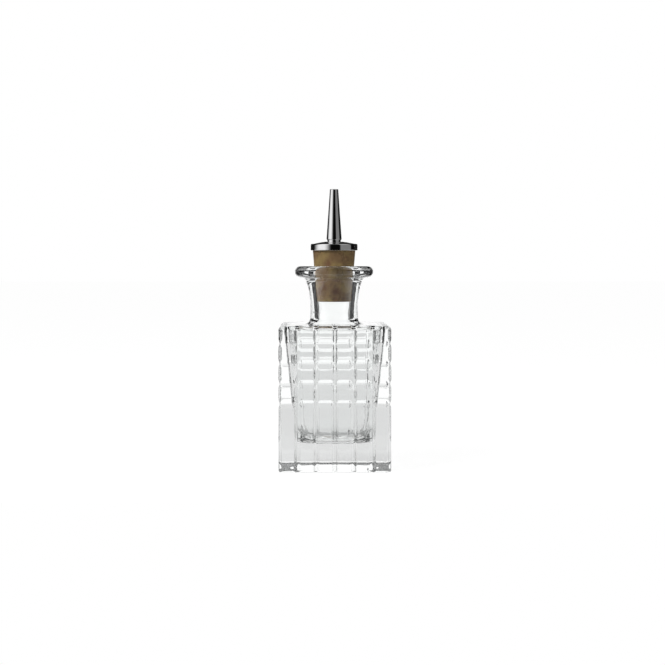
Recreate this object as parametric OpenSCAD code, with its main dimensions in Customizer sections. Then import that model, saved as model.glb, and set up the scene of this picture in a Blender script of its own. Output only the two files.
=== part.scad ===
// Dasher bottle for bitters: a square bottle of pressed glass with a corked metal dripper.
// Millimetres. Z is up, the foot stands on z = 0 and the front looks towards -Y.

/* [Body] */
// Width of the square body across its flat faces
body_w = 55; // [52:0.5:60]
// Height of the plain tall columns, from the foot to the first cross cut
tall_h = 33.4; // [28:0.2:40]
// Height of one cut square, from cross cut to cross cut
square_h = 9.85; // [8:0.05:12]
// Height from the last cross cut to the shoulder
top_h = 8.45; // [7:0.05:10]
// Number of cross cuts, one under each row of squares
cross_cuts = 4; // [2:1:5]
// Number of columns on each face
columns = 6; // [4:1:7]
// Rounding of the upright corners
corner_r = 2.6; // [2:0.1:4]
// Rounding of the shoulder's edge
shoulder_r = 2.4; // [1.6:0.1:3.2]
// Rounding of the foot's edge
foot_r = 1; // [0.8:0.1:2.4]

/* [Cuts in the glass] */
// Depth of the upright cuts
flute_depth = 1.25; // [0.8:0.05:1.5]
// Depth of the cross cuts, which are shallower
cross_depth = 0.6; // [0.4:0.05:0.9]
// Width of an upright cut at the surface
flute_w = 3.7; // [3.2:0.1:4.2]
// Width of a cross cut at the surface
cross_w = 4.6; // [3.8:0.1:5]
// Rounding of the edges of the upright cuts
flute_r = 1.8; // [1.6:0.1:2]
// Rounding of the edges of the cross cuts
cross_r = 5; // [4:0.1:6]

/* [Hollow] */
// Thickness of the glass wall at the shoulder, where the hollow is widest
wall_top_t = 2.4; // [2.2:0.1:4]
// Thickness of the glass wall at the floor of the hollow
wall_foot_t = 8.5; // [6:0.1:9]
// How much further the hollow reaches in its rounded corners than at its walls, at the shoulder
corner_reach_top = 8.5; // [5:0.1:9.5]
// The same at the floor
corner_reach_foot = 7; // [5:0.1:8]
// Thickness of the glass under the hollow
floor_t = 13; // [8:0.5:16]
// Rounding between the floor and the walls of the hollow
hollow_floor_r = 3.6; // [2.6:0.1:5]
// The same in the corners, where it is large enough to leave a round floor
corner_floor_r = 10; // [6:0.5:12]
// Rounding between the walls of the hollow and the shoulder
hollow_top_r = 1.4; // [1.2:0.1:4]
// Thickness of the glass in the shoulder
shoulder_t = 1.5; // [1.4:0.1:4]
// Rounding where the bore opens into the hollow
bore_flare = 6.2; // [4:0.1:6.4]
// Depth of the shallow dish under the foot
dish_depth = 0.8; // [0.4:0.1:1.4]
// Diameter of that dish
dish_d = 44; // [38:1:48]

/* [Neck and lip] */
// Height of the neck, from the shoulder to the top of the lip
neck_h = 28.9; // [27:0.1:33]
// Outside diameter of the neck at its waist
neck_d = 23.7; // [23:0.1:25]
// Height of the waist above the shoulder
waist_z = 7.4; // [6:0.1:9]
// Radius of the curve that the neck follows up to the lip
neck_curve = 46; // [38:1:60]
// Outside diameter of the lip
lip_d = 39.4; // [36:0.1:44]
// Thickness of the lip
lip_t = 5.6; // [4.4:0.1:6]
// Radius of the sweep from the neck into the lip
lip_fillet = 2.4; // [1.6:0.1:2.6]
// Radius of the sweep from the neck into the shoulder
neck_fillet = 3; // [2:0.1:4]
// Rounding of the mouth's inner edge
mouth_r = 1.2; // [0.6:0.1:1.6]

/* [Cork] */
// Diameter of the cork's lower end
cork_foot_d = 17.1; // [16.5:0.1:18]
// Change of the cork's diameter for each millimetre of its height
cork_taper = 0.165; // [0.12:0.005:0.175]
// Length of the cork
cork_len = 28.2; // [26:0.1:30]
// Length of cork held in the neck
cork_grip = 17.6; // [12:0.1:20]
// Gap between the cork and the glass all round
cork_fit = 0.06; // [0.02:0.01:0.1]
// Chamfer on the ends of the cork
cork_chamfer = 0.5; // [0.2:0.1:0.8]

/* [Dasher] */
// Room between the cork's upper edge and the inside of the cap all round
cap_room = 0.5; // [0.3:0.05:1.5]
// Height of the cap's rim
cap_rim_h = 3; // [2.4:0.1:4]
// Rise of the cap's dome above its rim
cap_dome_h = 1.4; // [1:0.1:2]
// Thickness of the cap's sheet
cap_t = 0.6; // [0.4:0.05:0.8]
// Rounding of the cap's upper edge
cap_edge_r = 0.9; // [0.8:0.1:1.2]
// Length of the spout's cone
spout_len = 25.5; // [18:0.1:30]
// Diameter of the spout at the base of its cone
spout_base_d = 7.8; // [7.4:0.1:9]
// Diameter of the spout at its tip
spout_tip_d = 4.3; // [3.8:0.1:5]
// Diameter of the hole in the tip
drip_d = 2.4; // [1.2:0.1:2.8]
// Diameter of the spigot that goes through the cap
spigot_d = 6.9; // [6.6:0.1:7]
// Length of the spigot that shows between the cap and the cone
spigot_show = 0.7; // [0.4:0.1:1]
// Chamfer round the base of the cone
base_chamfer = 0.5; // [0.2:0.1:0.7]
// Chamfer round the tip
tip_chamfer = 0.3; // [0.1:0.1:0.5]
// Outside diameter of the tube through the cork
tube_d = 5; // [4:0.1:5.2]
// Wall of the tube
tube_t = 0.6; // [0.4:0.05:0.9]
// Length of the tube that sits inside the spout
tube_seat = 6; // [4:0.5:10]

/* [Fits] */
// Gap between the tube and the cork all round
tube_fit = 0.05; // [0.02:0.01:0.1]
// Gap between the tube and the spout all round
solder_fit = 0.03; // [0.02:0.01:0.1]
// Gap between the spigot and the cap all round
spigot_fit = 0.03; // [0.02:0.01:0.1]
// Gap between the cap and the edge of the cork below it
cap_fit = 0.02; // [0.01:0.01:0.1]

/* [Hidden] */

$fn = 96;
// Reach of a cutting shape past the surface that it cuts
past = 2;
// Slope, in degrees, at which a rounding starts from the flat that it meets
start_slope = 8;
// How far the outline of the cross cuts stands outside the faces, so that the two share no plane
clear_face = 0.04;
// How far the hollow's wall outlines reach past its floor and its ceiling, for the same reason
clear_end = 0.4;

half_w = body_w / 2;
flute_pitch = body_w / columns;
body_h = tall_h + (cross_cuts - 1) * square_h + top_h;
hollow_top = half_w - wall_top_t;
hollow_foot = half_w - wall_foot_t;
hollow_z = floor_t;
hollow_ceiling = body_h - shoulder_t;

neck_top = body_h + neck_h;
lip_under = neck_top - lip_t;
lip_fillet_z = lip_under - lip_fillet * cos(start_slope);
neck_fillet_z = body_h + neck_fillet * cos(start_slope);

cork_z = neck_top - cork_grip;
cork_top = cork_z + cork_len;
cork_top_d = cork_foot_d + cork_taper * cork_len;

// The cap rests on the rim of the cork's upper face
cap_r = cork_top_d / 2 + cap_room + cap_t;
dome_r = (cap_r * cap_r + cap_dome_h * cap_dome_h) / (2 * cap_dome_h);
cap_seat_r = cork_top_d / 2 - cork_chamfer;
cap_top = cork_top + cap_fit + sag(dome_r - cap_t, cap_seat_r) + cap_t;
cap_foot = cap_top - cap_dome_h - cap_rim_h;

// The spout's spigot stands on the cork
spout_z = cap_top - sag(dome_r, spigot_d / 2) + spigot_show;
spout_top = spout_z + spout_len;
tube_top = cork_top + tube_seat;
tube_bore = tube_d - 2 * tube_t;

// Drop of a circle of radius r below its top at the distance x from its middle
function sag(r, x) = r - sqrt(r * r - x * x);

// Radius of the neck's outside at the height z
function neck_at(z) = neck_d / 2 + sag(neck_curve, z - body_h - waist_z);

// Diameter of the cork's cone at the height z
function cork_at(z) = cork_foot_d + cork_taper * (z - cork_z);

// Radius of the bore at the height z. It keeps the cork's taper all the way down to the hollow.
function bore_at(z) = cork_at(z) / 2 + cork_fit;

// Every rounding is a circle that pokes out of the flats by a hair and is cut off by them, so that
// arc and flat cross at start_slope.

// Square with rounded corners, centred
module round_square(w, r) {
    c = w / 2 - r * cos(start_slope);
    intersection() {
        square(w, center = true);
        union() {
            square([2 * c, w + past], center = true);
            square([w + past, 2 * c], center = true);
            for (x = [-c, c])
                for (y = [-c, c])
                    translate([x, y]) circle(r);
        }
    }
}

// Cutting outline of one groove with rounded edges. The surface is y = 0 and the glass lies below it.
module groove(w, depth, r) {
    c = w / 2 + r * sin(start_slope);
    difference() {
        translate([-c, -depth]) square([2 * c, depth + past]);
        for (x = [-c, c])
            translate([x, -r * cos(start_slope)]) circle(r);
    }
}

// Plan of the body: a square with upright grooves in its four faces
module plan() {
    difference() {
        round_square(body_w, corner_r);
        for (side = [0 : 3])
            rotate(90 * side)
                for (i = [1 : columns - 1])
                    translate([i * flute_pitch - half_w, half_w])
                        groove(flute_w, flute_depth, flute_r);
    }
}

// Side view of the body: rounded foot and shoulder, and the cross cuts on both sides
module side_view() {
    w = half_w + clear_face;
    foot_c = foot_r * cos(start_slope);
    top_c = shoulder_r * cos(start_slope);
    difference() {
        intersection() {
            translate([-w, 0]) square([2 * w, body_h]);
            union() {
                translate([foot_c - w, -past]) square([2 * (w - foot_c), past + body_h / 2]);
                translate([top_c - w, foot_c]) square([2 * (w - top_c), body_h + past]);
                translate([-w - past, foot_c]) square([2 * (w + past), body_h - top_c - foot_c]);
                for (s = [-1, 1]) {
                    translate([s * (w - foot_c), foot_c]) circle(foot_r);
                    translate([s * (w - top_c), body_h - top_c]) circle(shoulder_r);
                }
            }
        }
        for (i = [0 : cross_cuts - 1])
            translate([0, tall_h + i * square_h])
                for (s = [-1, 1])
                    translate([s * w, 0]) rotate(-90 * s) groove(cross_w, cross_depth, cross_r);
    }
}

// Half of the neck's outline, from inside the shoulder to the lip, with the lip's rounded edge
module neck_outline() {
    lip_r = lip_t / 2 / cos(start_slope);
    fillet_x = neck_at(neck_fillet_z) + neck_fillet;
    throat_x = neck_at(lip_fillet_z) + lip_fillet;
    difference() {
        translate([0, body_h - past]) square([lip_d / 2 - lip_r, neck_top - body_h + past]);
        // The space outside the neck, rounded where it meets the shoulder and the lip
        translate([fillet_x, neck_fillet_z]) circle(neck_fillet);
        translate([throat_x, lip_fillet_z]) circle(lip_fillet);
        translate([fillet_x, body_h - 2 * past])
            square([lip_d, lip_fillet_z - body_h + 2 * past]);
        translate([throat_x, neck_fillet_z]) square([lip_d, lip_under - neck_fillet_z]);
        intersection() {
            translate([0, neck_fillet_z]) square([lip_d, lip_fillet_z - neck_fillet_z]);
            difference() {
                square([2 * lip_d, 2 * neck_top]);
                neck_core();
            }
        }
    }
    intersection() {
        translate([lip_d / 2 - lip_r, neck_top - lip_t / 2]) circle(lip_r);
        translate([0, lip_under]) square([lip_d, lip_t]);
    }
}

// Everything inside the neck's long curve
module neck_core() {
    difference() {
        square([neck_d / 2 + neck_curve, 2 * neck_top]);
        translate([neck_d / 2 + neck_curve, body_h + waist_z]) circle(neck_curve, $fn = 4 * $fn);
    }
}

// Half of the bore's outline: the mouth, the tapered bore and its flare into the hollow
module bore_outline() {
    flare_z = hollow_ceiling + bore_flare * cos(start_slope);
    flare_x = bore_at(flare_z) + bore_flare * cos(start_slope);
    mouth_z = neck_top - mouth_r * cos(start_slope);
    mouth_x = bore_at(mouth_z) + mouth_r * cos(start_slope);
    polygon([
        [0, hollow_ceiling - past],
        [bore_at(hollow_ceiling - past), hollow_ceiling - past],
        [bore_at(neck_top + past), neck_top + past],
        [0, neck_top + past]
    ]);
    difference() {
        translate([0, hollow_ceiling - past]) square([flare_x, flare_z - hollow_ceiling + past]);
        translate([flare_x, flare_z]) circle(bore_flare);
    }
    difference() {
        translate([0, mouth_z]) square([mouth_x, mouth_r + past]);
        translate([mouth_x, mouth_z]) circle(mouth_r);
    }
}

// Outline of the hollow with straight walls that lean out, from half width foot to half width top.
// Its floor and ceiling lie at z0 and z1 and meet the walls in roundings.
module hollow_outline(foot, top, z0, z1, floor_r) {
    lean = atan((top - foot) / (z1 - z0));
    function wall(z) = foot + (top - foot) * (z - z0) / (z1 - z0);
    function inset(r) = r * cos(start_slope) / cos(lean);
    foot_z = z0 + floor_r * cos(start_slope);
    foot_x = wall(foot_z) - inset(floor_r);
    top_z = z1 - hollow_top_r * cos(start_slope);
    top_x = wall(top_z) - inset(hollow_top_r);
    // Heights at which the two circles come closest to the wall
    wall_low = foot_z - floor_r * sin(lean);
    wall_high = top_z - hollow_top_r * sin(lean);
    intersection() {
        polygon([[-wall(z0), z0], [wall(z0), z0], [wall(z1), z1], [-wall(z1), z1]]);
        union() {
            translate([-foot_x, 0]) square([2 * foot_x, top_z]);
            translate([-top - past, wall_low]) square([2 * (top + past), wall_high - wall_low]);
            translate([-top_x, foot_z]) square([2 * top_x, z1]);
            for (s = [-1, 1]) {
                translate([s * foot_x, foot_z]) circle(floor_r);
                translate([s * top_x, top_z]) circle(hollow_top_r);
            }
        }
    }
}

// The hollow: four leaning walls, with the corners between them turned round
module hollow() {
    z0 = hollow_z - clear_end;
    z1 = hollow_ceiling + clear_end;
    intersection() {
        rotate([90, 0, 0]) translate([0, 0, -body_w]) linear_extrude(2 * body_w)
            hollow_outline(hollow_foot, hollow_top, z0, z1, hollow_floor_r);
        rotate([90, 0, 90]) translate([0, 0, -body_w]) linear_extrude(2 * body_w)
            hollow_outline(hollow_foot, hollow_top, z0, z1, hollow_floor_r);
        rotate_extrude() intersection() {
            hollow_outline(hollow_foot + corner_reach_foot, hollow_top + corner_reach_top,
                hollow_z, hollow_ceiling, corner_floor_r);
            square([body_w, body_h]);
        }
    }
}

// The square body with its grid of cuts, still solid
module body_block() {
    intersection() {
        translate([0, 0, -past]) linear_extrude(body_h + 2 * past) plan();
        rotate([90, 0, 0]) translate([0, 0, -body_w]) linear_extrude(2 * body_w) side_view();
        rotate([90, 0, 90]) translate([0, 0, -body_w]) linear_extrude(2 * body_w) side_view();
    }
}

module bottle() {
    dish_r = (dish_d * dish_d / 4 + dish_depth * dish_depth) / (2 * dish_depth);
    color([0.86, 0.92, 0.92, 0.6])
        difference() {
            union() {
                body_block();
                rotate_extrude() neck_outline();
            }
            hollow();
            rotate_extrude() bore_outline();
            translate([0, 0, dish_depth - dish_r]) sphere(dish_r, $fn = 3 * $fn);
        }
}

module cork() {
    c = cork_chamfer;
    color([0.78, 0.62, 0.42])
        rotate_extrude()
            difference() {
                polygon([
                    [0, cork_z],
                    [cork_foot_d / 2 - c, cork_z],
                    [cork_at(cork_z + c) / 2, cork_z + c],
                    [cork_at(cork_top - c) / 2, cork_top - c],
                    [cork_top_d / 2 - c, cork_top],
                    [0, cork_top]
                ]);
                translate([-1, cork_z - past])
                    square([1 + tube_d / 2 + tube_fit, cork_len + 2 * past]);
            }
}

// Half of the cap's outer outline: upright rim, rounded edge and low dome
module cap_outline() {
    edge_reach = cap_edge_r * cos(start_slope);
    edge_x = cap_r - edge_reach;
    edge_tilt = asin(edge_x / (dome_r - edge_reach));
    dome_z = cap_top - dome_r;
    edge_z = dome_z + (dome_r - edge_reach) * cos(edge_tilt);
    intersection() {
        translate([0, cap_foot]) square([cap_r, cap_top]);
        translate([0, dome_z]) circle(dome_r, $fn = 4 * $fn);
        union() {
            square([edge_x + cap_edge_r * sin(edge_tilt), 2 * cap_top]);
            square([2 * cap_r, edge_z]);
            translate([edge_x, edge_z]) circle(cap_edge_r);
        }
    }
}

module cap() {
    color([0.75, 0.76, 0.78])
        rotate_extrude()
            difference() {
                cap_outline();
                intersection() {
                    translate([-past, 0]) square([cap_r - cap_t + past, cap_top]);
                    translate([0, cap_top - dome_r]) circle(dome_r - cap_t, $fn = 4 * $fn);
                }
                translate([-past, 0]) square([past + spigot_d / 2 + spigot_fit, 2 * cap_top]);
            }
}

module spout() {
    seat_r = tube_d / 2 + solder_fit;
    color([0.75, 0.76, 0.78])
        rotate_extrude()
            polygon([
                [seat_r, cork_top],
                [spigot_d / 2, cork_top],
                [spigot_d / 2, spout_z],
                [spout_base_d / 2 - base_chamfer, spout_z],
                [spout_base_d / 2, spout_z + base_chamfer],
                [spout_tip_d / 2, spout_top - tip_chamfer],
                [spout_tip_d / 2 - tip_chamfer, spout_top],
                [drip_d / 2, spout_top],
                [tube_bore / 2, tube_top],
                [seat_r, tube_top]
            ]);
}

module feed_tube() {
    color([0.7, 0.71, 0.72])
        difference() {
            translate([0, 0, cork_z]) cylinder(d = tube_d, h = tube_top - cork_z);
            translate([0, 0, cork_z - past]) cylinder(d = tube_bore, h = tube_top - cork_z + 2 * past);
        }
}

bottle();
cork();
cap();
spout();
feed_tube();
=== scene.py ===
"""Studio picture of a square pressed-glass bitters bottle with a corked metal dripper."""

import math

import bpy
import numpy as np
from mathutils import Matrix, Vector


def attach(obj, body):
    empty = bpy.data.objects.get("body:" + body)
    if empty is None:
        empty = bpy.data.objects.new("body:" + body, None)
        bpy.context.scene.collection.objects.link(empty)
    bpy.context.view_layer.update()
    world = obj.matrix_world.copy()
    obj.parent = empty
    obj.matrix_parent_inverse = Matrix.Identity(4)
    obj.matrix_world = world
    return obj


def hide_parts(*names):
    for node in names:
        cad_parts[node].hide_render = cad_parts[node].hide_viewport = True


# Sizes below are in millimetres, as in the CAD source, and MM turns them into the scene's metres.
MM = 0.001
TINY = 1e-6

# Body
BODY_W = 55.0
HALF_W = BODY_W / 2
COLUMNS = 6
TALL_H = 33.4
SQUARE_H = 9.85
TOP_H = 8.45
CROSS_CUTS = 4
BODY_H = TALL_H + (CROSS_CUTS - 1) * SQUARE_H + TOP_H
CORNER_R = 2.6
SHOULDER_R = 2.4
SHOULDER_T = 1.5
FOOT_R = 1.0
# How much lower the shoulder's edge runs in the upright cuts
NOTCH = 0.9
DISH_R = 22.0
DISH_DEPTH = 0.8

# Upright cuts (flutes) and level cuts (cross), and how steeply their rounded edges start
FLUTE_DEPTH = 1.25
FLUTE_W = 3.7
FLUTE_R = 1.8
CROSS_DEPTH = 0.6
CROSS_W = 4.6
CROSS_R = 5.0
CUT_SLOPE = math.radians(8)

# Hollow
HOLLOW_FLOOR = 13.0
HOLLOW_CEILING = BODY_H - SHOULDER_T
# Half the hollow's width, at the foot and at the top of its leaning walls
HOLLOW_FOOT = HALF_W - 8.5
HOLLOW_TOP = HALF_W - 2.4
HOLLOW_FLOOR_R = 3.6
HOLLOW_TOP_R = 1.4
# How far the hollow's corners reach beyond its walls before they are turned round
CORNER_REACH_FOOT = 7.0
CORNER_REACH_TOP = 8.5
CORNER_FLOOR_R = 10.0
BORE_FLARE = 6.2

# Neck and lip
NECK_TOP = BODY_H + 28.9
NECK_R = 11.85
WAIST_Z = BODY_H + 7.4
NECK_CURVE = 46.0
LIP_R = 19.7
LIP_T = 5.6
LIP_FILLET = 2.4
# Where the sweep into the lip starts, as a share of its radius under the lip
LIP_SWEEP = 0.71
# Width of the flats under the lip and on top of it, inside their roundings
LIP_UNDER = 0.8
LIP_TOP = 1.5
NECK_FILLET = 3.0
MOUTH_R = 1.2

# Cork
CORK_Z = NECK_TOP - 17.6
CORK_LEN = 28.2
CORK_TOP = CORK_Z + CORK_LEN
CORK_FOOT_R = 8.55
CORK_TAPER = 0.165 / 2
CORK_FIT = 0.06
# Bevel round both ends of the cork
CORK_EDGE = 0.5
CORK_BORE_R = 2.55

# Dasher
CAP_T = 0.6
CAP_ROOM = 0.5
CAP_R = CORK_FOOT_R + CORK_TAPER * CORK_LEN + CAP_ROOM + CAP_T
CAP_DOME_H = 1.7
CAP_RIM_H = 3.0
CAP_EDGE_R = 0.9
SPIGOT_R = 3.45
# Height of the spigot that shows under the cone. The tip's height follows from it.
SPIGOT_SHOW = 0.494
SPOUT_LEN = 25.5
SPOUT_BASE_R = 3.9
SPOUT_BASE_EDGE = 0.5
SPOUT_TIP_R = 2.15
SPOUT_TIP_EDGE = 0.3
DRIP_R = 1.2
TUBE_R = 2.5
TUBE_BORE_R = 1.9
TUBE_TOP = CORK_TOP + 6.0
# Clearance between the metal pieces, and between the cap and the cork's top
METAL_FIT = 0.03
CAP_FIT = 0.02

# Material slots of the bottle, the bands of its foot that are stippled, and how many rings of the
# bore's flare belong to the inside
CLEAR, INSIDE, STIPPLED = 0, 1, 2
FOOT_BANDS = range(5, 8)
FLARE_RINGS = 16
# Distance between the rings of the body where it has level cuts
RING_STEP = 0.36


# Outlines


def arc(x, z, r, start, end, steps):
    """Points on an arc about (x, z), from the angle start to the angle end in degrees."""
    return [
        (x + r * math.cos(math.radians(a)), z + r * math.sin(math.radians(a)))
        for a in np.linspace(start, end, steps + 1)
    ]


def line(a, b, steps):
    """Points from a to b, both ends in."""
    return [
        (a[0] + (b[0] - a[0]) * t, a[1] + (b[1] - a[1]) * t)
        for t in np.linspace(0, 1, steps + 1)
    ]


def rounded(corners, steps=5):
    """A closed outline of (x, z, radius) corners with each corner rounded."""
    points = []
    count = len(corners)
    for i, (x, z, r) in enumerate(corners):
        here = Vector((x, z))
        before = Vector(corners[i - 1][:2]) - here
        after = Vector(corners[(i + 1) % count][:2]) - here
        half = before.angle(after) / 2
        reach = min(
            r / math.tan(half), 0.45 * before.length, 0.45 * after.length
        )
        start = here + before.normalized() * reach
        end = here + after.normalized() * reach
        for t in np.linspace(0, 1, steps + 1).tolist():
            # A quadratic curve is close enough to an arc at this size
            p = (1 - t) ** 2 * start + 2 * t * (1 - t) * here + t**2 * end
            points.append((p.x, p.y))
    return points


def dome_radius(reach, height):
    """Radius of the circle through an arch of the given half width and height."""
    return (reach**2 + height**2) / (2 * height)


def sag(r, x):
    """Drop of a circle of radius r below its top at the distance x from its middle."""
    return r - math.sqrt(r * r - x * x)


def neck_at(z):
    """Radius of the neck's outside at the height z."""
    return NECK_R + sag(NECK_CURVE, z - WAIST_Z)


def cork_at(z):
    """Radius of the cork at the height z."""
    return CORK_FOOT_R + CORK_TAPER * (z - CORK_Z)


def bore_at(z):
    """Radius of the bore at the height z. It keeps the cork's taper down to the hollow."""
    return cork_at(z) + CORK_FIT


# Meshes


def finish_mesh(name, points, faces, slots=None):
    """A smooth object from points in millimetres, with a material slot for each face."""
    mesh = bpy.data.meshes.new(name)
    mesh.from_pydata((np.asarray(points) * MM).tolist(), [], faces)
    mesh.validate()
    mesh.polygons.foreach_set("use_smooth", [True] * len(mesh.polygons))
    if slots is not None:
        mesh.polygons.foreach_set("material_index", slots)
    mesh.update()
    obj = bpy.data.objects.new(name, mesh)
    bpy.context.scene.collection.objects.link(obj)
    return obj


def weigh_normals(obj):
    """Keeps the flats flat in the shading, between the rounded edges."""
    modifier = obj.modifiers.new("normals", "WEIGHTED_NORMAL")
    modifier.mode = "FACE_AREA"
    modifier.keep_sharp = False


def revolve(name, outline, steps):
    """Turns a closed outline about Z. No point of it lies on the axis."""
    angles = np.linspace(0, 2 * math.pi, steps, endpoint=False)
    count = len(outline)
    points = [
        (r * math.cos(a), r * math.sin(a), z) for a in angles for r, z in outline
    ]
    faces = []
    for i in range(steps):
        here, there = i * count, (i + 1) % steps * count
        for k in range(count):
            n = (k + 1) % count
            faces.append((here + k, there + k, there + n, here + n))
    obj = finish_mesh(name, points, faces)
    weigh_normals(obj)
    return obj


# Glass bottle


def groove(t, width, depth, r):
    """Depth of a cut at the distance t from its middle: a narrow valley between rounded edges."""
    middle = width / 2 + r * math.sin(CUT_SLOPE)
    across = np.clip(middle - np.abs(t), 0, r)
    side = r * math.cos(CUT_SLOPE) - np.sqrt(r**2 - across**2)
    side = np.maximum(side, TINY)
    # The high power gives the smaller of the two, with a small rounding where they meet
    return (side**-6 + depth**-6) ** (-1 / 6)


def side_stations():
    """Places along one face, from its left corner rounding to its right one."""
    pitch = BODY_W / COLUMNS
    reach = FLUTE_W / 2 + 0.1
    # Places within a cut
    within = np.linspace(-1, 1, 13)
    within = reach * np.sign(within) * np.abs(within) ** 0.85
    # Shares of the pad between two cuts
    on_pad = (0.12, 0.5, 0.88)
    places = [-(HALF_W - CORNER_R)]
    for i in range(1, COLUMNS):
        middle = i * pitch - HALF_W
        gap = middle - reach - places[-1]
        places += [places[-1] + gap * t for t in on_pad]
        places += list(middle + within)
    gap = HALF_W - CORNER_R - places[-1]
    places += [places[-1] + gap * t for t in on_pad]
    return np.array(places)


def plan_points():
    """Plan of the body with its upright cuts, anticlockwise."""
    stations = side_stations()
    pitch = BODY_W / COLUMNS
    depth = sum(
        groove(stations - (i * pitch - HALF_W), FLUTE_W, FLUTE_DEPTH, FLUTE_R)
        for i in range(1, COLUMNS)
    )
    face = np.stack([stations, -(HALF_W - depth)], axis=1)
    middle = HALF_W - CORNER_R
    turn = np.radians(np.linspace(-90, 0, 9))[:-1]
    corner = np.stack(
        [middle + CORNER_R * np.cos(turn), -middle + CORNER_R * np.sin(turn)], axis=1
    )
    quarter = np.concatenate([face, corner])
    plan = []
    for k in range(4):
        c, s = math.cos(k * math.pi / 2), math.sin(k * math.pi / 2)
        plan.append(quarter @ np.array([[c, s], [-s, c]]))
    return np.concatenate(plan)


PLAN = plan_points()
TURN = np.arctan2(PLAN[:, 1], PLAN[:, 0])
# How far each point lies in an upright cut, from 0 on a pad to 1 at the bottom of a cut
FLUTED = np.clip(
    np.where(
        np.abs(PLAN).min(axis=1) < HALF_W - CORNER_R - 0.01,
        (HALF_W - np.abs(PLAN).max(axis=1)) / FLUTE_DEPTH,
        0,
    ),
    0,
    1,
)


def circle_ring(r, z):
    """A round ring with one point for each point of the plan."""
    return np.stack(
        [r * np.cos(TURN), r * np.sin(TURN), np.full(len(TURN), z)], axis=1
    )


def body_ring(z, edge=0.0, dip=0.0):
    """The outside of the body at the height z, drawn in by the cross cuts and by edge.
    It runs lower by dip in the upright cuts."""
    cut = sum(
        groove(np.array(z - TALL_H - i * SQUARE_H), CROSS_W, CROSS_DEPTH, CROSS_R)
        for i in range(CROSS_CUTS)
    )
    drawn = max(float(cut), edge, TINY)
    depth = HALF_W - np.abs(PLAN)
    # The larger of the two, with a rounding where they meet
    depth = (np.maximum(depth, TINY) ** 4 + drawn**4) ** 0.25
    xy = np.sign(PLAN) * (HALF_W - depth)
    return np.column_stack([xy, z - dip * FLUTED])


def corner_at(z):
    """Radius to which the hollow's corners are turned round at the height z."""
    up = (z - HOLLOW_FLOOR) / (HOLLOW_CEILING - HOLLOW_FLOOR)
    low = HOLLOW_FOOT + CORNER_REACH_FOOT
    radius = low + (HOLLOW_TOP + CORNER_REACH_TOP - low) * up
    for r, away in (
        (CORNER_FLOOR_R, z - HOLLOW_FLOOR),
        (HOLLOW_TOP_R, HOLLOW_CEILING - z),
    ):
        radius -= sag(r, max(0.0, r - away))
    return radius


def hollow_ring(w, z, flat=None):
    """The hollow at the height z, with w from its axis to the middle of its walls.
    On the floor and the ceiling, flat is the w at which the rounding starts."""
    # A square with small roundings and a circle: the smaller of the two, rounded where they meet
    c, s = np.abs(np.cos(TURN)), np.abs(np.sin(TURN))
    square = w / (c**16 + s**16) ** (1 / 16)
    around = corner_at(z) * (w / flat if flat else 1.0)
    r = (square**-24 + around**-24) ** (-1 / 24)
    return np.column_stack([r * np.cos(TURN), r * np.sin(TURN), np.full(len(TURN), z)])


def outer_rings():
    """Rings from the dish under the foot up the outside to the edge of the shoulder."""
    dish = dome_radius(DISH_R, DISH_DEPTH)
    rings = []
    for r in (3, 8, 13, 18, 20.5):
        rings.append(circle_ring(r, DISH_DEPTH - sag(dish, r)))
    rim = circle_ring(DISH_R, 0.0)
    foot = body_ring(0.0, FOOT_R)
    rings += [rim + (foot - rim) * t for t in (0, 0.25, 0.6, 1)]
    for a in np.radians(np.linspace(0, 90, 8))[1:]:
        rings.append(
            body_ring(FOOT_R * (1 - math.cos(a)), FOOT_R * (1 - math.sin(a)))
        )
    rings += [body_ring(z) for z in (2.4, 5, 10, 15, 20, 25, 29)]
    first_cut = TALL_H - CROSS_W / 2
    start = BODY_H - SHOULDER_R
    levels = np.arange(first_cut - 0.3, start - 0.3, RING_STEP)
    rings += [body_ring(z) for z in levels]
    for a in np.radians(np.linspace(0, 90, 12)):
        share = a / math.radians(90)
        rings.append(
            body_ring(
                start + SHOULDER_R * math.sin(a),
                SHOULDER_R * (1 - math.cos(a)),
                NOTCH * share,
            )
        )
    return rings


def neck_profile():
    """Outline from the shoulder up the neck, over the lip and down the bore to the hollow."""
    low_z = BODY_H + NECK_FILLET
    points = arc(neck_at(low_z) + NECK_FILLET, low_z, NECK_FILLET, 270, 186, 8)
    lip_under = NECK_TOP - LIP_T
    # The sweep into the lip starts in line with the neck's curve
    join_z = lip_under - LIP_SWEEP * LIP_FILLET
    slope = math.asin((join_z - WAIST_Z) / NECK_CURVE)
    middle = (
        neck_at(join_z) + LIP_FILLET * math.cos(slope),
        join_z - LIP_FILLET * math.sin(slope),
    )
    points += [(neck_at(z), z) for z in np.linspace(low_z + 0.9, join_z - 0.5, 18)]
    points += arc(*middle, LIP_FILLET, 180 - math.degrees(slope), 92, 8)
    lip_mid = lip_under + LIP_T / 2
    lip_r = LIP_T / 2
    points += [(LIP_R - lip_r - LIP_UNDER, middle[1] + LIP_FILLET)]
    points += arc(LIP_R - lip_r, lip_mid, lip_r, -90, 90, 22)
    mouth_z = NECK_TOP - MOUTH_R
    seat = bore_at(mouth_z)
    points += [(seat + MOUTH_R + LIP_TOP, NECK_TOP)]
    points += arc(seat + MOUTH_R, mouth_z, MOUTH_R, 90, 180, 6)
    points += line((seat, mouth_z), (bore_at(CORK_Z), CORK_Z), 8)[1:]
    flare_z = HOLLOW_CEILING + BORE_FLARE
    points += line((bore_at(CORK_Z), CORK_Z), (bore_at(flare_z), flare_z), 6)[1:-1]
    points += arc(bore_at(flare_z) + BORE_FLARE, flare_z, BORE_FLARE, 180, 270, 12)
    return points


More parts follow.
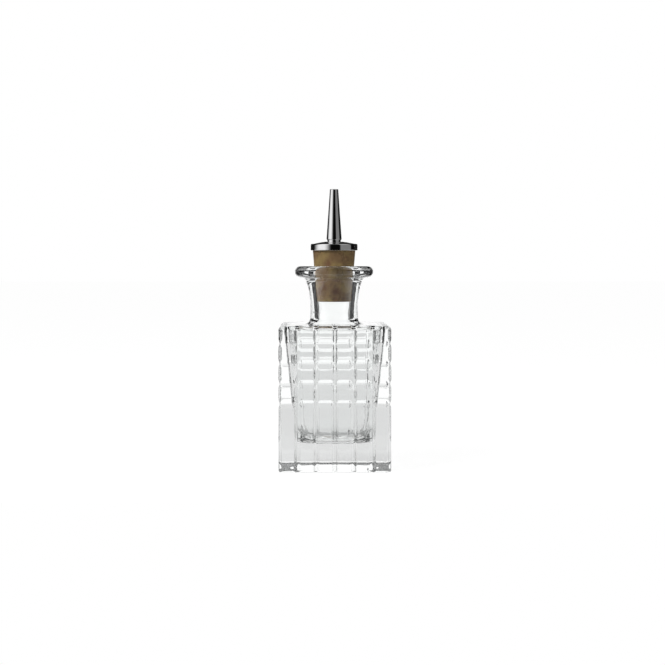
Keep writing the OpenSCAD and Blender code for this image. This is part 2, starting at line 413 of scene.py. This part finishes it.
def hollow_profile():
    """Outline of the hollow from its ceiling down the wall to the middle of its floor."""
    start = bore_at(HOLLOW_CEILING + BORE_FLARE) + BORE_FLARE
    corner_in = HOLLOW_TOP - HOLLOW_TOP_R
    lean = math.degrees(
        math.atan((HOLLOW_TOP - HOLLOW_FOOT) / (HOLLOW_CEILING - HOLLOW_FLOOR))
    )
    top = arc(
        corner_in - 0.3, HOLLOW_CEILING - HOLLOW_TOP_R, HOLLOW_TOP_R, 90, -lean, 12
    )
    floor_x = HOLLOW_FOOT + 0.35 - HOLLOW_FLOOR_R
    low = arc(
        floor_x, HOLLOW_FLOOR + HOLLOW_FLOOR_R, HOLLOW_FLOOR_R, -lean, -90, 12
    )
    points = line((start, HOLLOW_CEILING), top[0], 5)[1:-1]
    points += top + line(top[-1], low[0], 22)[1:-1] + low
    points += line(low[-1], (0, HOLLOW_FLOOR), 5)[1:-1]
    return points, start, top[0][0], low[-1][0]


def shoulder_rings(edge, neck_foot):
    """Rings across the shoulder, where the notches of the upright cuts fade out."""
    rings = []
    for t in (0.04, 0.1, 0.2, 0.35, 0.6, 0.9):
        ring = edge + (neck_foot - edge) * t
        ring[:, 2] = BODY_H - NOTCH * FLUTED * max(0.0, 1 - t / 0.3) ** 2
        rings.append(ring)
    return rings


def hollow_rings():
    """Rings from the end of the bore across the ceiling, down the walls and over the floor."""
    outline, start, full, floor_w = hollow_profile()
    rings = []
    for w, z in outline:
        if z > HOLLOW_CEILING - TINY:
            # The round bore turns into the square hollow across the ceiling
            share = (w - start) / (full - start)
            ring = circle_ring(w, z)
            ring = ring + (hollow_ring(w, z, full) - ring) * share
        else:
            ring = hollow_ring(w, z, floor_w if z < HOLLOW_FLOOR + TINY else None)
        rings.append(ring)
    return rings


def make_bottle():
    """One closed mesh: up the outside, over the lip, down the bore and over the hollow."""
    neck = neck_profile()
    rings = outer_rings()
    rings += shoulder_rings(rings[-1], circle_ring(*neck[0]))
    rings += [circle_ring(r, z) for r, z in neck]
    inside_from = len(rings) - FLARE_RINGS
    rings += hollow_rings()
    count = len(PLAN)
    points = [[0, 0, DISH_DEPTH]] + list(np.concatenate(rings))
    points.append([0, 0, HOLLOW_FLOOR])
    faces = [(0, 1 + (k + 1) % count, 1 + k) for k in range(count)]
    slots = [CLEAR] * count
    for i in range(len(rings) - 1):
        low, high = 1 + i * count, 1 + (i + 1) * count
        for k in range(count):
            n = (k + 1) % count
            faces.append((low + k, low + n, high + n, high + k))
        slot = INSIDE if i >= inside_from else CLEAR
        slots += [STIPPLED if i in FOOT_BANDS else slot] * count
    low = 1 + (len(rings) - 1) * count
    end = len(points) - 1
    faces += [(low + k, low + (k + 1) % count, end) for k in range(count)]
    slots += [INSIDE] * count
    obj = finish_mesh("bottle_glass", points, faces, slots)
    weigh_normals(obj)
    return obj


# Stopper


def make_cork():
    outline = rounded(
        [
            (CORK_BORE_R, CORK_Z, 0.2),
            (CORK_FOOT_R - CORK_EDGE, CORK_Z, 0.3),
            (cork_at(CORK_Z + CORK_EDGE), CORK_Z + CORK_EDGE, 0.3),
            (cork_at(CORK_TOP - CORK_EDGE), CORK_TOP - CORK_EDGE, 0.3),
            (cork_at(CORK_TOP) - CORK_EDGE, CORK_TOP, 0.3),
            (CORK_BORE_R, CORK_TOP, 0.2),
        ],
        3,
    )
    return revolve("cork_stopper", outline, 160)


def cap_dome():
    return dome_radius(CAP_R, CAP_DOME_H)


def cap_height():
    """Height of the dome's top, where its inside just clears the edge of the cork."""
    edge = cork_at(CORK_TOP) - CORK_EDGE
    return CORK_TOP + CAP_FIT + sag(cap_dome() - CAP_T, edge) + CAP_T


def make_cap():
    """The cap, turned from the hole out over the dome, down the rim and back inside."""
    dome = cap_dome()
    top = cap_height()
    inner = CAP_R - CAP_T
    hole = SPIGOT_R + METAL_FIT
    corners = [(hole, top - sag(dome, hole), 0.05)]
    corners += [(x, top - sag(dome, x), 1.0) for x in (5, 7, 9)]
    corners += [(CAP_R, top - sag(dome, CAP_R - 0.6), CAP_EDGE_R)]
    corners += [(CAP_R, top - CAP_DOME_H - CAP_RIM_H, 0.2)]
    corners += [(inner, top - CAP_DOME_H - CAP_RIM_H, 0.2)]
    corners += [(inner, top - CAP_T - sag(dome - CAP_T, inner - 0.4), 0.4)]
    corners += [(x, top - CAP_T - sag(dome - CAP_T, x), 0.5) for x in (9, 6)]
    corners += [(hole, top - CAP_T - sag(dome - CAP_T, hole), 0.05)]
    return revolve("cap_shell", rounded(corners, 5), 180)


def make_spout():
    base = cap_height() - sag(cap_dome(), SPIGOT_R) + SPIGOT_SHOW
    tip = base + SPOUT_LEN
    seat = TUBE_R + METAL_FIT
    corners = [
        (seat, CORK_TOP, 0.05),
        (SPIGOT_R, CORK_TOP, 0.05),
        (SPIGOT_R, base, 0.15),
        (SPOUT_BASE_R - SPOUT_BASE_EDGE, base, 0.2),
        (SPOUT_BASE_R, base + SPOUT_BASE_EDGE, 0.35),
        (SPOUT_TIP_R, tip - SPOUT_TIP_EDGE, 0.25),
        (SPOUT_TIP_R - SPOUT_TIP_EDGE, tip, 0.15),
        (DRIP_R, tip, 0.15),
        (TUBE_BORE_R, TUBE_TOP, 0.1),
        (seat, TUBE_TOP, 0.1),
    ]
    return revolve("spout_cone", rounded(corners, 4), 120)


def make_tube():
    corners = [
        (TUBE_BORE_R, CORK_Z, 0.1),
        (TUBE_R, CORK_Z, 0.1),
        (TUBE_R, TUBE_TOP, 0.1),
        (TUBE_BORE_R, TUBE_TOP, 0.1),
    ]
    return revolve("drip_tube", rounded(corners, 3), 72)


# Materials

WHITE = (1, 1, 1, 1)
GLASS_IOR = 1.5
GLASS_TINT = (0.97, 0.99, 0.985, 1)
# Painted shade on the stippled foot: dark greys that stand in for the shadowed floor seen through
# it
FOOT_SHADE_DARK, FOOT_SHADE_PALE = (0.10, 0.11, 0.11, 1), (0.30, 0.31, 0.31, 1)
CHROME_DARK, CHROME_PALE = (0.80, 0.80, 0.81, 1), (0.86, 0.86, 0.86, 1)
STEEL_DARK, STEEL_PALE = (0.48, 0.48, 0.48, 1), (0.62, 0.62, 0.62, 1)

# Tones of the cork: its patches, its reddish parts, single granules and the dark grain
CORK_BROWN = (0.20, 0.125, 0.062, 1)
CORK_BUFF = (0.29, 0.205, 0.085, 1)
CORK_RED = (0.13, 0.055, 0.035, 1)
CORK_GRANULE = (0.12, 0.085, 0.05, 1)
CORK_GRAIN = (0.085, 0.05, 0.03, 1)
# Darker knots in the cork: centre and reach in millimetres, tone and strength
CORK_KNOTS = (
    ((0.6, -8.8, 88.0), 2.6, (0.07, 0.03, 0.026, 1), 0.7),
    ((1.6, -9.4, 97.4), 4.2, (0.09, 0.06, 0.035, 1), 0.6),
)


class Graph:
    """Short forms for making a node tree."""

    def __init__(self, tree):
        self.tree = tree
        tree.nodes.clear()

    def put(self, socket, value):
        if isinstance(value, bpy.types.NodeSocket):
            self.tree.links.new(value, socket)
        elif value is not None:
            socket.default_value = value

    def add(self, kind, inputs=None, **settings):
        node = self.tree.nodes.new("ShaderNode" + kind)
        for name, value in settings.items():
            setattr(node, name, value)
        for name, value in (inputs or {}).items():
            self.put(node.inputs[name], value)
        return node

    def math(self, operation, a, b=None):
        return self.add("Math", {0: a, 1: b}, operation=operation).outputs[0]

    def ease(self, value, low, high, to_low=0.0, to_high=1.0):
        """Smooth step from to_low to to_high as value goes from low to high."""
        node = self.add(
            "MapRange",
            {0: value, 1: low, 2: high, 3: to_low, 4: to_high},
            interpolation_type="SMOOTHSTEP",
        )
        return node.outputs[0]

    def mix(self, factor, a, b):
        """Colour between a and b."""
        return self.add("Mix", {0: factor, 6: a, 7: b}, data_type="RGBA").outputs[2]

    def grey(self, level):
        """Colour of one level."""
        return self.add("CombineColor", {0: level, 1: level, 2: level}).outputs[0]

    def noise(self, vector, scale, detail=3.0, rough=0.5):
        node = self.add(
            "TexNoise",
            {"Vector": vector, "Scale": scale, "Detail": detail, "Roughness": rough},
        )
        return node.outputs["Fac"]

    def bump(self, height, strength, distance, normal=None):
        node = self.add(
            "Bump",
            {
                "Height": height,
                "Strength": strength,
                "Distance": distance,
                "Normal": normal,
            },
        )
        return node.outputs[0]

    def place(self, scale=(1, 1, 1)):
        """Place on the object, in millimetres, stretched by scale."""
        spot = self.add("TexCoord").outputs["Object"]
        stretched = tuple(s / MM for s in scale)
        node = self.add("Mapping", {"Vector": spot, "Scale": stretched})
        return node.outputs[0]


def surface(name, shade):
    """A material whose surface is the shader node that shade makes."""
    mat = bpy.data.materials.new(name)
    mat.use_nodes = True
    g = Graph(mat.node_tree)
    out = g.add("OutputMaterial")
    g.put(out.inputs["Surface"], shade(g).outputs[0])
    return mat


def material(name, look):
    """A material of one Principled shader, with its sockets set by look."""

    def shade(g):
        shader = g.add("BsdfPrincipled")
        look(g, shader)
        return shader

    return surface(name, shade)


def glass(name, wave, wave_size):
    """Clear glass with a faint wave, its height and its size given in millimetres."""

    def look(g, shader):
        spot = g.place()
        slow = g.noise(spot, 1 / wave_size, 2.0)
        tone = g.mix(g.noise(spot, 0.08, 2.0), WHITE, GLASS_TINT)
        g.put(shader.inputs["Base Color"], tone)
        g.put(shader.inputs["Roughness"], 0.0)
        g.put(shader.inputs["IOR"], GLASS_IOR)
        g.put(shader.inputs["Transmission Weight"], 1.0)
        g.put(shader.inputs["Normal"], g.bump(slow, 1.0, wave * MM))

    return material(name, look)


def stippled_look(g, shader):
    """The bearing face under the glass, roughened with a stipple, its colour greyed in patches by
    painted shade.
    """
    spot = g.place()
    dots = g.add("TexVoronoi", {"Vector": spot, "Scale": 0.7}).outputs["Distance"]
    shade_patches = g.noise(spot, 0.35, 3.0)
    # Painted shade: the foot is coloured dark grey in random patches, in place of the shadowed
    # floor seen through the rough glass
    tone = g.mix(g.ease(shade_patches, 0.35, 0.65), FOOT_SHADE_DARK, FOOT_SHADE_PALE)
    g.put(shader.inputs["Base Color"], tone)
    g.put(shader.inputs["Roughness"], 0.5)
    g.put(shader.inputs["IOR"], GLASS_IOR)
    g.put(shader.inputs["Transmission Weight"], 0.35)
    g.put(shader.inputs["Normal"], g.bump(dots, 0.8, 0.3 * MM))


def cork_look(g, shader):
    spot = g.place()
    grain = g.noise(g.place((1, 1, 1.5)), 0.5, 4.0, 0.6)
    patches = g.noise(spot, 0.13, 1.5)
    tawny = g.noise(g.place((1, 1, 0.8)), 0.19, 1.0)
    cells = g.add("TexVoronoi", {"Vector": spot, "Scale": 0.55}).outputs["Color"]
    cell = g.add("SeparateColor", {0: cells}).outputs[0]
    base = g.mix(g.ease(patches, 0.38, 0.62), CORK_BROWN, CORK_BUFF)
    base = g.mix(g.ease(tawny, 0.56, 0.72, 0, 0.6), base, CORK_RED)
    base = g.mix(g.math("MULTIPLY", cell, 0.22), base, CORK_GRANULE)
    base = g.mix(g.ease(grain, 0.52, 0.74, 0, 0.55), base, CORK_GRAIN)
    for centre, reach, tone, strength in CORK_KNOTS:
        distance = g.add("VectorMath", {0: spot, 1: centre}, operation="DISTANCE")
        ragged = g.math("MULTIPLY", grain, reach)
        away = g.math("ADD", distance.outputs["Value"], ragged)
        base = g.mix(g.ease(away, reach * 0.6, reach * 1.6, strength, 0), base, tone)
    g.put(shader.inputs["Base Color"], base)
    g.put(shader.inputs["Roughness"], 0.85)
    g.put(shader.inputs["Specular IOR Level"], 0.25)
    pits = g.ease(g.noise(g.place((1, 1, 0.45)), 0.7, 3.0), 0.62, 0.72, 1, 0)
    rough = g.bump(grain, 0.6, 0.25 * MM)
    g.put(shader.inputs["Normal"], g.bump(pits, 0.8, 0.35 * MM, rough))


def chrome_look(g, shader):
    spot = g.place()
    cloud = g.noise(spot, 0.3, 3.0)
    g.put(shader.inputs["Metallic"], 1.0)
    g.put(shader.inputs["Base Color"], g.mix(cloud, CHROME_DARK, CHROME_PALE))
    g.put(shader.inputs["Roughness"], g.ease(cloud, 0.3, 0.7, 0.03, 0.07))
    g.put(shader.inputs["Normal"], g.bump(g.noise(spot, 0.12, 1.0), 1.0, 0.03 * MM))


def tube_look(g, shader):
    drawn = g.noise(g.place((1, 1, 0.02)), 6.0, 2.0)
    g.put(shader.inputs["Metallic"], 1.0)
    g.put(shader.inputs["Base Color"], g.mix(drawn, STEEL_DARK, STEEL_PALE))
    g.put(shader.inputs["Roughness"], g.ease(drawn, 0.3, 0.7, 0.2, 0.35))
    g.put(shader.inputs["Normal"], g.bump(drawn, 0.3, 0.02 * MM))


# Studio

# Bright panels round the bottle, as (from, to, foot, top, level). The first two are the bearings
# over which each end fades, in degrees from the backdrop's middle, clockwise from above. Foot and
# top are the heights over which those edges fade, in degrees above the horizon.
PANELS = [
    ((-32, -26), (26, 32), (-90, -85), (2, 6), 1.0),
    ((-166, -128), (-105, -65), (-0.9, -0.3), (57, 63), 1.0),
    ((90, 96), (147, 153), (-33, -27), (57, 63), 0.22),
    ((-150, -125), (-45, -30), (36, 56), (91, 92), 0.35),
    ((30, 45), (125, 150), (36, 56), (91, 92), 0.35),
    ((-182, -181), (181, 182), (36, 56), (91, 92), 0.04),
]
ROOM_LEVEL = 0.003
AMBIENT = 0.42
THROUGH_GLASS = 1.08
# Bearings over which the tent behind the glass dims to its level in front
TENT_END = (98, 126)
TENT_FRONT = 0.4
# Light on what is inside the glass: all round, and more from the key lamp's side
INSIDE_AMBIENT = 0.52
INSIDE_KEY = 3.2
INSIDE_KEY_SIDE = (-100, -60)
INSIDE_KEY_FRONT = (-175, -135)


def make_world():
    """The room, which differs with what sees it: the camera, metal, glass or matt surfaces."""
    world = bpy.data.worlds.new("studio")
    bpy.context.scene.world = world
    world.use_nodes = True
    g = Graph(world.node_tree)
    towards = g.add("TexCoord").outputs["Generated"]
    axes = g.add("SeparateXYZ", {0: towards})
    bearing = g.math("ARCTAN2", axes.outputs[0], axes.outputs[1])
    bearing = g.math("MULTIPLY", bearing, math.degrees(1))
    height = g.math("MULTIPLY", g.math("ARCSINE", axes.outputs[2]), math.degrees(1))
    level = ROOM_LEVEL
    for start, end, foot, top, strength in PANELS:
        window = g.ease(bearing, *start)
        for fade in (
            g.ease(bearing, *end, 1, 0),
            g.ease(height, *foot),
            g.ease(height, *top, 1, 0),
        ):
            window = g.math("MULTIPLY", window, fade)
        level = g.math("ADD", level, g.math("MULTIPLY", window, strength))
    path = g.add("LightPath")
    ambient = (AMBIENT, AMBIENT, AMBIENT, 1)
    room = g.mix(path.outputs["Is Diffuse Ray"], g.grey(level), ambient)
    # Through the glass the room is a white tent, dimmer in front
    round_back = g.math("ABSOLUTE", bearing)
    tent = g.ease(round_back, *TENT_END, THROUGH_GLASS, TENT_FRONT)
    # What lies inside the glass is lit as the lamps light what is outside
    side = g.ease(bearing, *INSIDE_KEY_SIDE, INSIDE_KEY, 0)
    front = g.ease(bearing, *INSIDE_KEY_FRONT)
    inside = g.math("ADD", INSIDE_AMBIENT, g.math("MULTIPLY", side, front))
    lit = g.math("GREATER_THAN", path.outputs["Diffuse Depth"], 0.5)
    unlit = g.math("SUBTRACT", 1, lit)
    tent = g.math("MULTIPLY", tent, unlit)
    tent = g.math("ADD", tent, g.math("MULTIPLY", inside, lit))
    room = g.mix(path.outputs["Is Transmission Ray"], room, g.grey(tent))
    seen = g.mix(path.outputs["Is Camera Ray"], room, WHITE)
    back = g.add("Background", {"Color": seen, "Strength": 1.0})
    out = g.add("OutputWorld")
    g.put(out.inputs["Surface"], back.outputs[0])


# Sizes and places in the studio are in metres. The floor lies just under the foot. It ends in
# front like a table, so that the glass doesn't mirror it against the dark room.
FLOOR_REACH = 6.0
FLOOR_FRONT = 0.12
FLOOR_DROP = 0.0002
FLOOR_TONE = (0.8, 0.8, 0.8, 1)
# Share of the floor's brightness that is its own glow, and the level of that glow: first to the
# camera, then in glass or metal
FLOOR_SEEN = 0.85
FLOOR_GLOW = 1.10
FLOOR_IN_GLASS = 0.7
FLOOR_IN_GLASS_GLOW = 0.84
# The black flags stand between these bearings from the middle of the backdrop, on both sides
FLAG_GAP = 29
FLAG_END = 72
FLAG_DISTANCE = 0.20
FLAG_FOOT = 0.018
FLAG_TOP = 0.28
FLAG_TONE = (0.02, 0.02, 0.02, 1)
BOARD_DISTANCE = 0.31
BOARD_TOP = 0.165
# Lamps: name, place, size and power
LAMPS = (
    ("key", (-0.7, -0.6, 0.8), 0.5, 8.5),
    ("fill", (0.8, -0.5, 0.5), 0.6, 0.8),
)
LAMP_AIM = Vector((0, 0, 0.1))


def make_card(name, corners, look):
    """A flat card of the studio."""
    mesh = bpy.data.meshes.new(name)
    mesh.from_pydata(corners, [], [(0, 1, 2, 3)])
    mesh.materials.append(look)
    card = bpy.data.objects.new(name, mesh)
    bpy.context.scene.collection.objects.link(card)
    return card


def show_in_glass_only(card):
    card.visible_camera = False
    card.visible_diffuse = False
    card.visible_shadow = False


def floor_shade(g):
    """Matt white that also glows, by a share and a level that depend on how it is seen."""
    path = g.add("LightPath")
    to_camera = path.outputs["Is Camera Ray"]
    level = g.math("MULTIPLY", to_camera, FLOOR_GLOW - FLOOR_IN_GLASS_GLOW)
    level = g.math("ADD", level, FLOOR_IN_GLASS_GLOW)
    through = g.math(
        "MAXIMUM", path.outputs["Is Transmission Ray"], path.outputs["Is Glossy Ray"]
    )
    share = g.math("MULTIPLY", through, FLOOR_IN_GLASS)
    share = g.math("MAXIMUM", share, g.math("MULTIPLY", to_camera, FLOOR_SEEN))
    matt = g.add("BsdfDiffuse", {"Color": FLOOR_TONE})
    glow = g.add("Emission", {"Color": WHITE, "Strength": level})
    return g.add("MixShader", {0: share, 1: matt.outputs[0], 2: glow.outputs[0]})


def flag_shade(g):
    return g.add("BsdfDiffuse", {"Color": FLAG_TONE})


def board_shade(g):
    return g.add("Emission", {"Color": WHITE, "Strength": THROUGH_GLASS})


def make_floor():
    """A white floor that runs back out of sight."""
    reach, front = FLOOR_REACH, -FLOOR_FRONT
    corners = [(-reach, front, 0), (reach, front, 0), (reach, reach, 0), (-reach, reach, 0)]
    floor = make_card("floor", corners, surface("floor_white", floor_shade))
    floor.location.z = -FLOOR_DROP


def make_flags():
    """Black cards beside the backdrop, which draw the dark edges in the glass and the chrome."""
    black = surface("flag_black", flag_shade)
    low, high = FLAG_FOOT, FLAG_TOP
    for side in (-1, 1):
        ends = [math.radians(90 - side * bearing) for bearing in (FLAG_GAP, FLAG_END)]
        (x0, y0), (x1, y1) = [
            (FLAG_DISTANCE * math.cos(a), FLAG_DISTANCE * math.sin(a)) for a in ends
        ]
        corners = [(x0, y0, low), (x1, y1, low), (x1, y1, high), (x0, y0, high)]
        flag = make_card("flag", corners, black)
        show_in_glass_only(flag)


def make_board():
    """The white board behind, which fills the gap between the flags."""
    half = BOARD_DISTANCE * math.tan(math.radians(FLAG_GAP))
    y = BOARD_DISTANCE
    corners = [(-half, y, 0), (half, y, 0), (half, y, BOARD_TOP), (-half, y, BOARD_TOP)]
    board = make_card("board", corners, surface("board_white", board_shade))
    show_in_glass_only(board)


def make_lamp(name, place, size, power):
    """A square lamp that isn't seen itself, in the camera, the metal or the glass."""
    data = bpy.data.lights.new(name, "AREA")
    data.shape = "SQUARE"
    data.size = size
    data.energy = power
    lamp = bpy.data.objects.new(name, data)
    bpy.context.scene.collection.objects.link(lamp)
    lamp.location = place
    lamp.rotation_euler = (LAMP_AIM - Vector(place)).to_track_quat("-Z", "Y").to_euler()
    lamp.visible_glossy = False
    lamp.visible_transmission = False
    lamp.visible_camera = False


CAMERA_PLACE = Vector((-0.0128, -0.800, 0.105))
CAMERA_TILT = math.radians(2.72)
CAMERA_TURN = math.radians(0.86)
LENS = 86.4
SENSOR = 36.0


def make_camera():
    data = bpy.data.cameras.new("camera")
    data.lens = LENS
    data.sensor_width = SENSOR
    camera = bpy.data.objects.new("camera", data)
    bpy.context.scene.collection.objects.link(camera)
    camera.location = CAMERA_PLACE
    camera.rotation_euler = (math.radians(90) - CAMERA_TILT, 0, -CAMERA_TURN)
    bpy.context.scene.camera = camera


# The scene


def dress(obj, looks, node, body):
    """Gives a piece its materials, hides the CAD node that it stands for and ties it to its body.
    """
    for look in looks:
        obj.data.materials.append(look)
    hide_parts(node)
    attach(obj, body)


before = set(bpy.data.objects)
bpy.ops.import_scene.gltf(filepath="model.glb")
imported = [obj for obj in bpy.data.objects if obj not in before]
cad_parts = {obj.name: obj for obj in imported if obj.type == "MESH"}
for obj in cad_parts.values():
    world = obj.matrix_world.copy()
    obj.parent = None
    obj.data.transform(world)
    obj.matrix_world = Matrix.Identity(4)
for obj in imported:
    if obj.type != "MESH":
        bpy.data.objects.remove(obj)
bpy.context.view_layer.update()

clear = glass("clear_glass", 0.02, 7.0)
wavy = glass("glass_inside", 0.10, 9.0)
stippled = material("glass_foot", stippled_look)
chrome = material("bright_chrome", chrome_look)

dress(make_bottle(), [clear, wavy, stippled], "bottle", "bottle")
dress(make_cork(), [material("cork_grain", cork_look)], "cork", "stopper")
dress(make_cap(), [chrome], "cap", "dasher")
dress(make_spout(), [chrome], "spout", "dasher")
dress(make_tube(), [material("drawn_steel", tube_look)], "feed_tube", "dasher")

make_world()
make_floor()
make_flags()
make_board()
for lamp in LAMPS:
    make_lamp(*lamp)
make_camera()
bpy.context.scene.view_settings.view_transform = "Standard"
